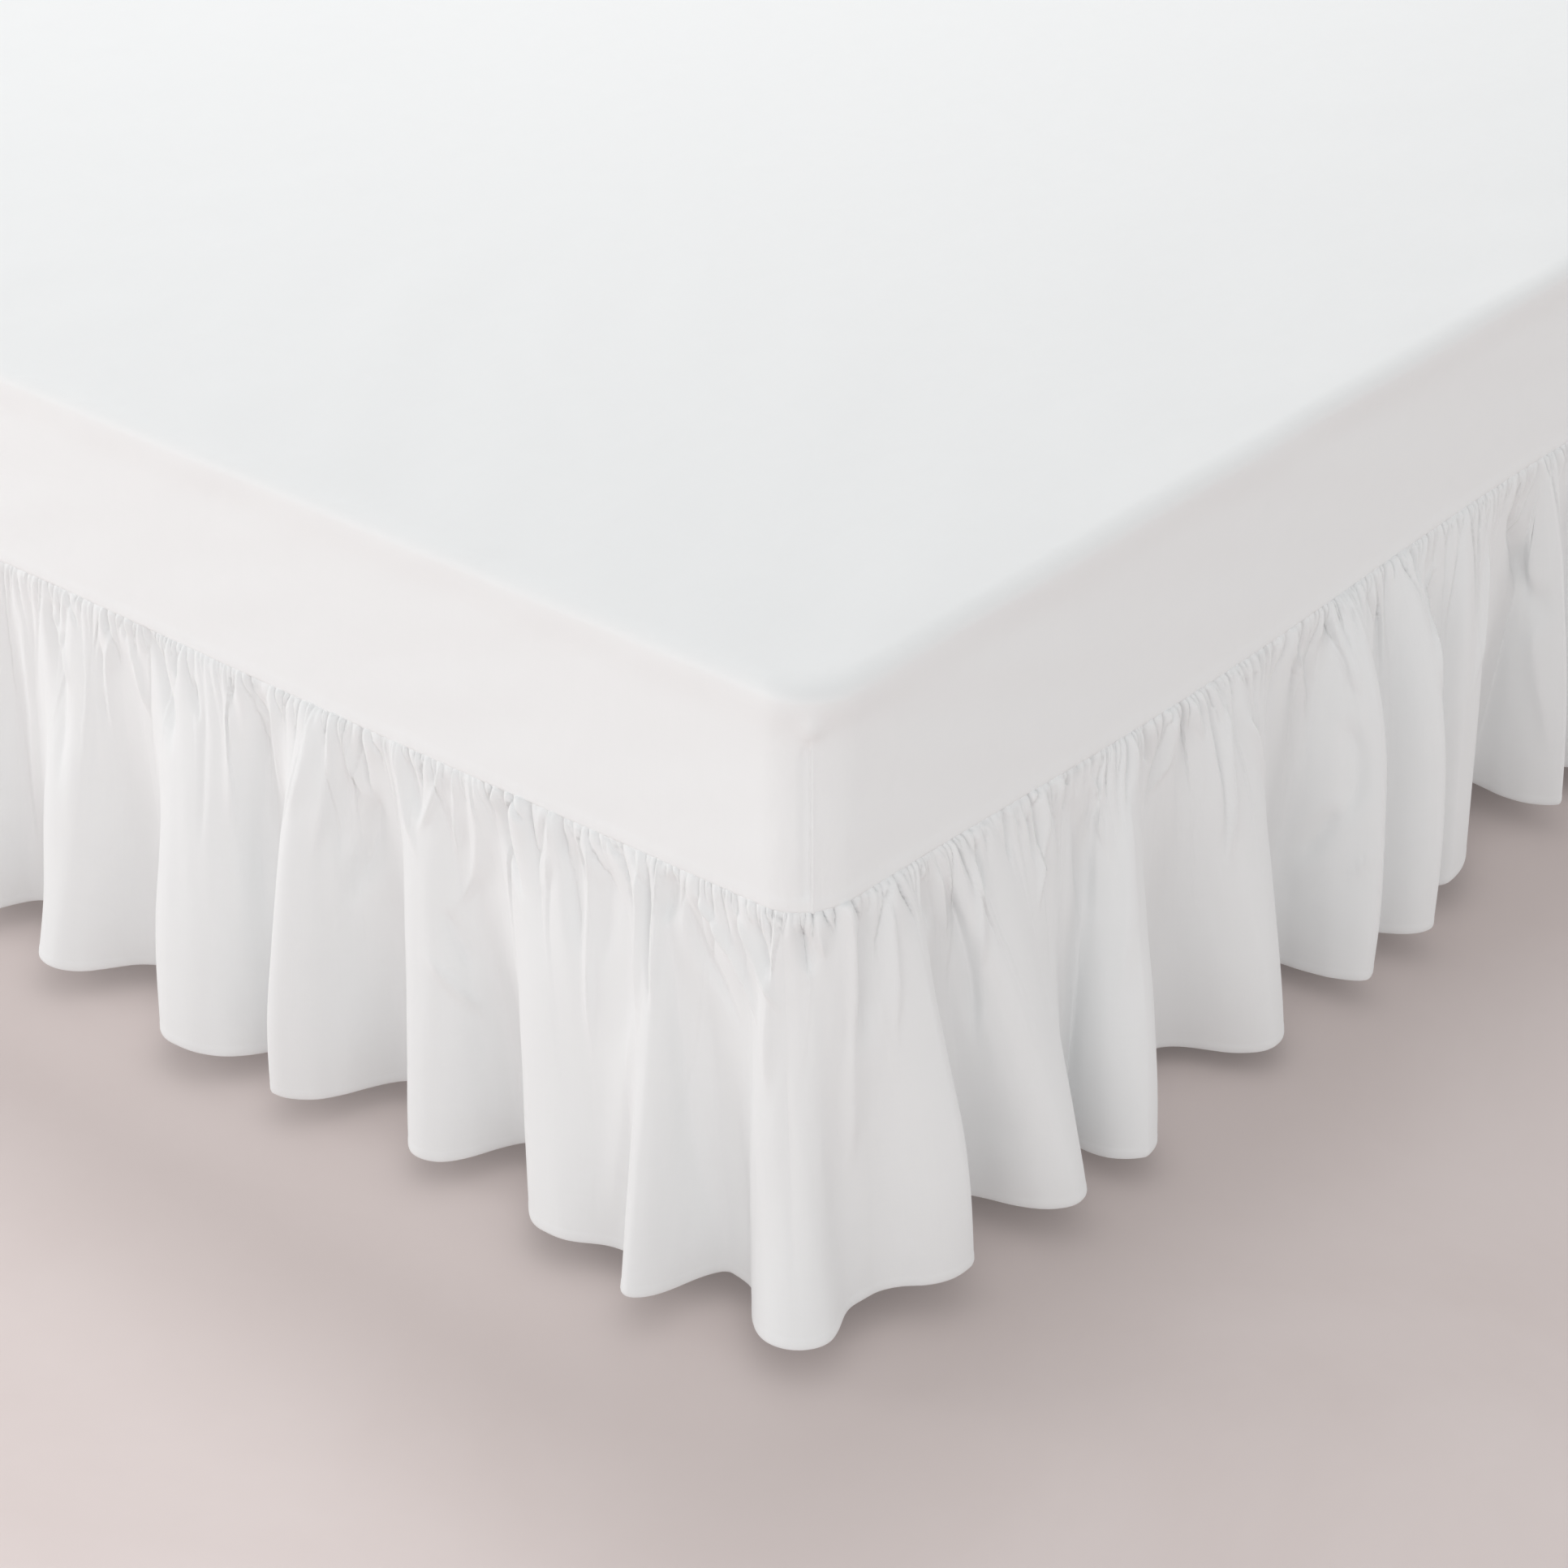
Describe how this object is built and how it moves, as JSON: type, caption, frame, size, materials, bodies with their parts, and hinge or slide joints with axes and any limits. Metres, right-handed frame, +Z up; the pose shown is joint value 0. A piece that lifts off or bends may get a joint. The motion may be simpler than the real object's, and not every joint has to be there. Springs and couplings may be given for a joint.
{
  "type": "bed skirt on mattress and base",
  "caption": "White fitted bed skirt with a gathered frill to the floor, lying on the mattress and base that it covers.",
  "frame": {"origin": "on the floor, under the middle of the whole object's box", "axes": "+Z up, +Y towards the head end, which has no frill, +X towards the right side as seen from the foot"},
  "size_m": [1.9658, 2.09, 0.605],
  "materials": {
    "white_cotton": "matt plain-weave cotton",
    "mattress_ticking": "matt woven ticking",
    "base_cloth": "matt upholstery cloth",
    "foot_plastic": "matt black plastic"
  },
  "bodies": {
    "root": {"fitted_cover": "white_cotton", "frill_width_1": "white_cotton", "frill_width_2": "white_cotton", "frill_width_3": "white_cotton", "frill_width_4": "white_cotton", "mattress": "mattress_ticking", "base": "base_cloth", "foot_1": "foot_plastic", "foot_2": "foot_plastic", "foot_3": "foot_plastic", "foot_4": "foot_plastic", "foot_5": "foot_plastic", "foot_6": "foot_plastic"}
  },
  "joints": []
}
